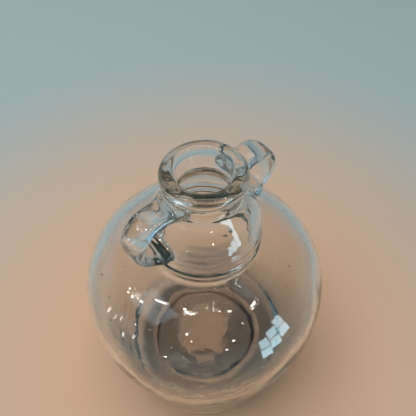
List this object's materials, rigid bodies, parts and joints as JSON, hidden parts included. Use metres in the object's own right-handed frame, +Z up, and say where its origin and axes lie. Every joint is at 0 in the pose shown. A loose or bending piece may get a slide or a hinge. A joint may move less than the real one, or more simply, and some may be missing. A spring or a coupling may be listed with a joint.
{
  "type": "glass jug",
  "caption": "Clear-glass jug with a full rounded bowl, thick base, short bell-shaped neck, rolled lip and strap ear handles, for keeping and pouring liquids.",
  "frame": {"origin": "middle of the jug's base, on the surface that it stands on", "axes": "+Z up along the jug's axis, out of its mouth; the ear handles lie along X"},
  "size_m": [0.16, 0.16, 0.221],
  "materials": {
    "clear_glass": "clear, fire-polished"
  },
  "bodies": {
    "root": {"base": "clear_glass", "bowl": "clear_glass", "collar": "clear_glass", "neck": "clear_glass", "lip": "clear_glass", "handle_left": "clear_glass", "handle_right": "clear_glass"}
  },
  "joints": []
}
